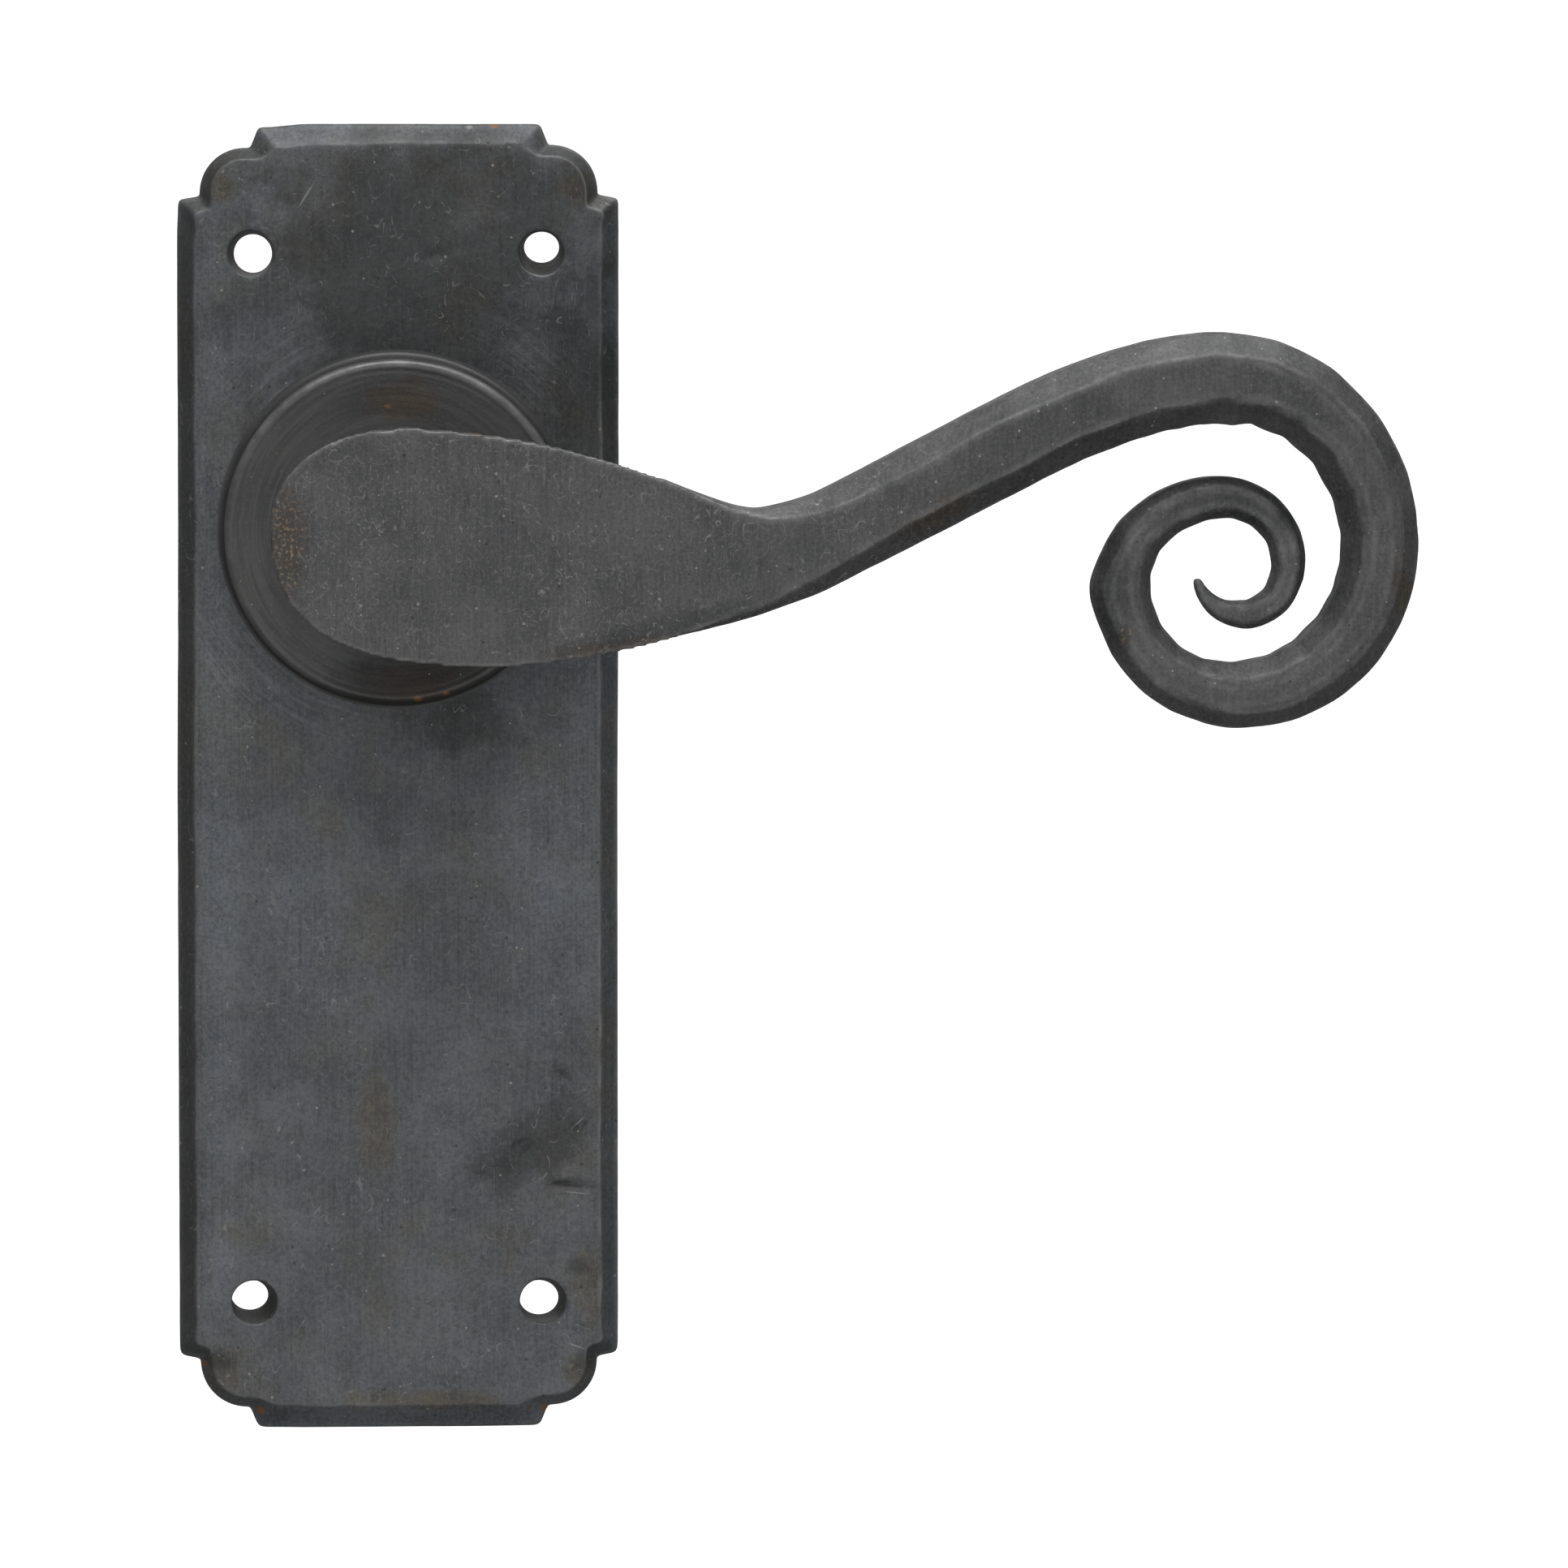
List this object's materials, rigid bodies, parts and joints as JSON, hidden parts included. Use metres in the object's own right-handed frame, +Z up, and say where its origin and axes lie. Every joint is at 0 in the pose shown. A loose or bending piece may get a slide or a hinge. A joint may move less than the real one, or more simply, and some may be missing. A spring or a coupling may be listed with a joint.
{
  "type": "door lever handle",
  "caption": "Sprung door lever handle on a long stepped-corner backplate, with a flat oval thumb end, a forged bar that curls into a scroll, and a square spindle behind.",
  "frame": {"origin": "spindle axis where it meets the door face, which is the plane of the backplate's back", "axes": "+Y into the door along the spindle, +Z up along the plate, +X towards the scroll end of the lever; the front faces -Y"},
  "size_m": [0.1394, 0.11, 0.152],
  "materials": {
    "blackened_iron": "hand-forged, blackened and waxed, satin",
    "turned_iron": "turned, blackened and waxed, fine concentric tool marks",
    "bright_steel": "zinc plated, satin",
    "spring_steel": "oiled spring steel",
    "black_steel": "black oxide",
    "bearing_bronze": "turned bearing bronze",
    "black_nylon": "moulded, matt"
  },
  "bodies": {
    "plate": {"backplate": "blackened_iron", "boss_collar": "turned_iron", "neck_bush": "bearing_bronze", "rear_bush": "black_nylon", "rear_cover": "bright_steel", "cover_screws": "bright_steel", "collar_key_pin": "bright_steel", "stop_pins": "bright_steel", "return_spring": "spring_steel"},
    "lever": {"lever": "blackened_iron", "neck_shank": "turned_iron", "grub_screw": "black_steel", "spindle": "bright_steel", "front_washer": "bearing_bronze", "inner_washer": "black_nylon", "spacer_sleeve": "black_nylon", "drive_cam": "bright_steel", "disc_spring": "spring_steel", "support_washer": "bright_steel", "circlip": "spring_steel"}
  },
  "joints": [
    {"name": "lever_turn", "type": "hinge", "parent": "plate", "child": "lever", "pos_m": [0, 0, 0], "axis": [0, 1, 0], "range_deg": [0, 50], "stiffness_Nm_per_rad": 0.9, "springref_deg": -28.65, "deforming": ["return_spring"]}
  ]
}
